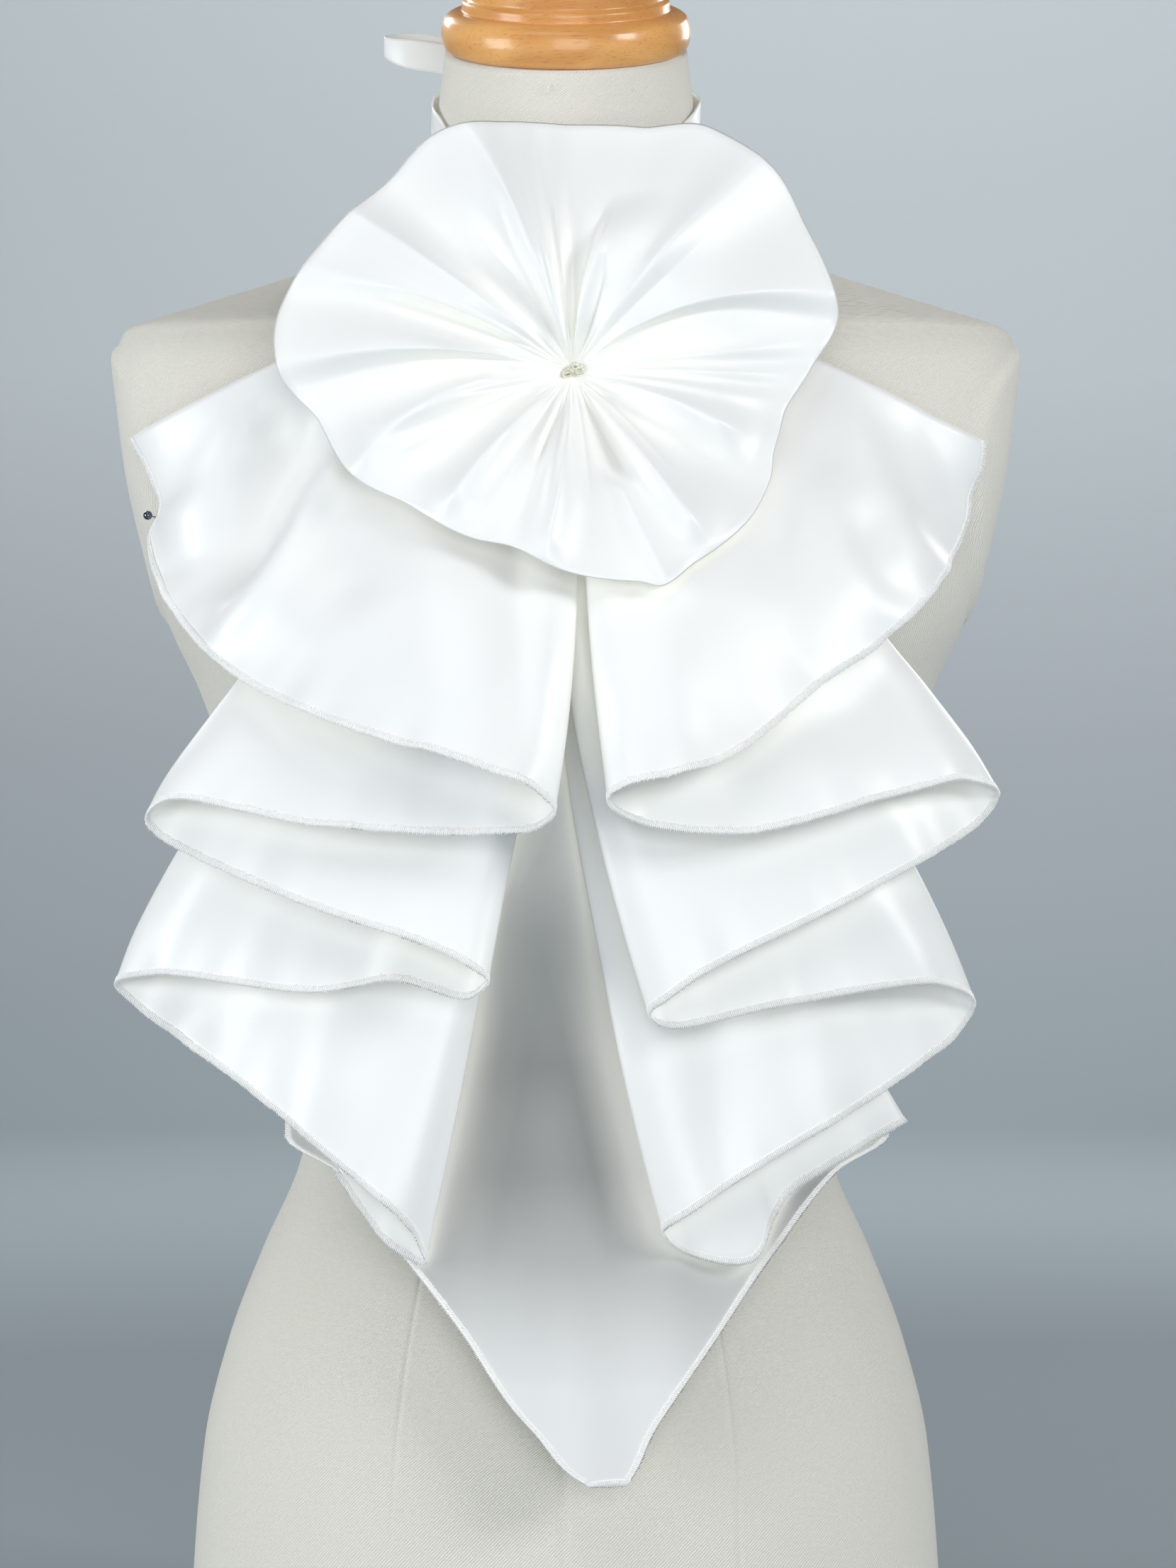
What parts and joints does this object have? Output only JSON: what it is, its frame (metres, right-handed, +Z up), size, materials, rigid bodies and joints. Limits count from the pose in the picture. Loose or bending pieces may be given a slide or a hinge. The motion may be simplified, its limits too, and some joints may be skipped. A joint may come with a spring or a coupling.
{
  "type": "detachable jabot collar on a dress form",
  "caption": "White satin jabot collar with a gathered rosette, folded ruffle cascades and a pointed under panel, tied round the neck of a limbless dress form.",
  "frame": {"origin": "centre of the base plate's underside, on the surface the dress form stands on", "axes": "+Z up along the form, -Y out of its chest, +X to the right as the front is seen"},
  "size_m": [0.388, 0.3195, 0.7924],
  "materials": {
    "satin": "white satin, soft sheen",
    "ribbon_satin": "narrow white satin ribbon",
    "form_linen": "cream twill cover",
    "cap_wood": "turned and varnished",
    "base_wood": "varnished"
  },
  "bodies": {
    "root": {"form_base": "base_wood", "form_torso": "form_linen", "neck_cap": "cap_wood", "under_panel": "satin", "cascade_left": "satin", "cascade_right": "satin", "rosette": "satin", "neck_ribbon": "ribbon_satin", "bow_knot": "ribbon_satin", "bow_loop_left": "ribbon_satin", "bow_loop_right": "ribbon_satin", "ribbon_tail_left": "ribbon_satin", "ribbon_tail_right": "ribbon_satin"}
  },
  "joints": []
}
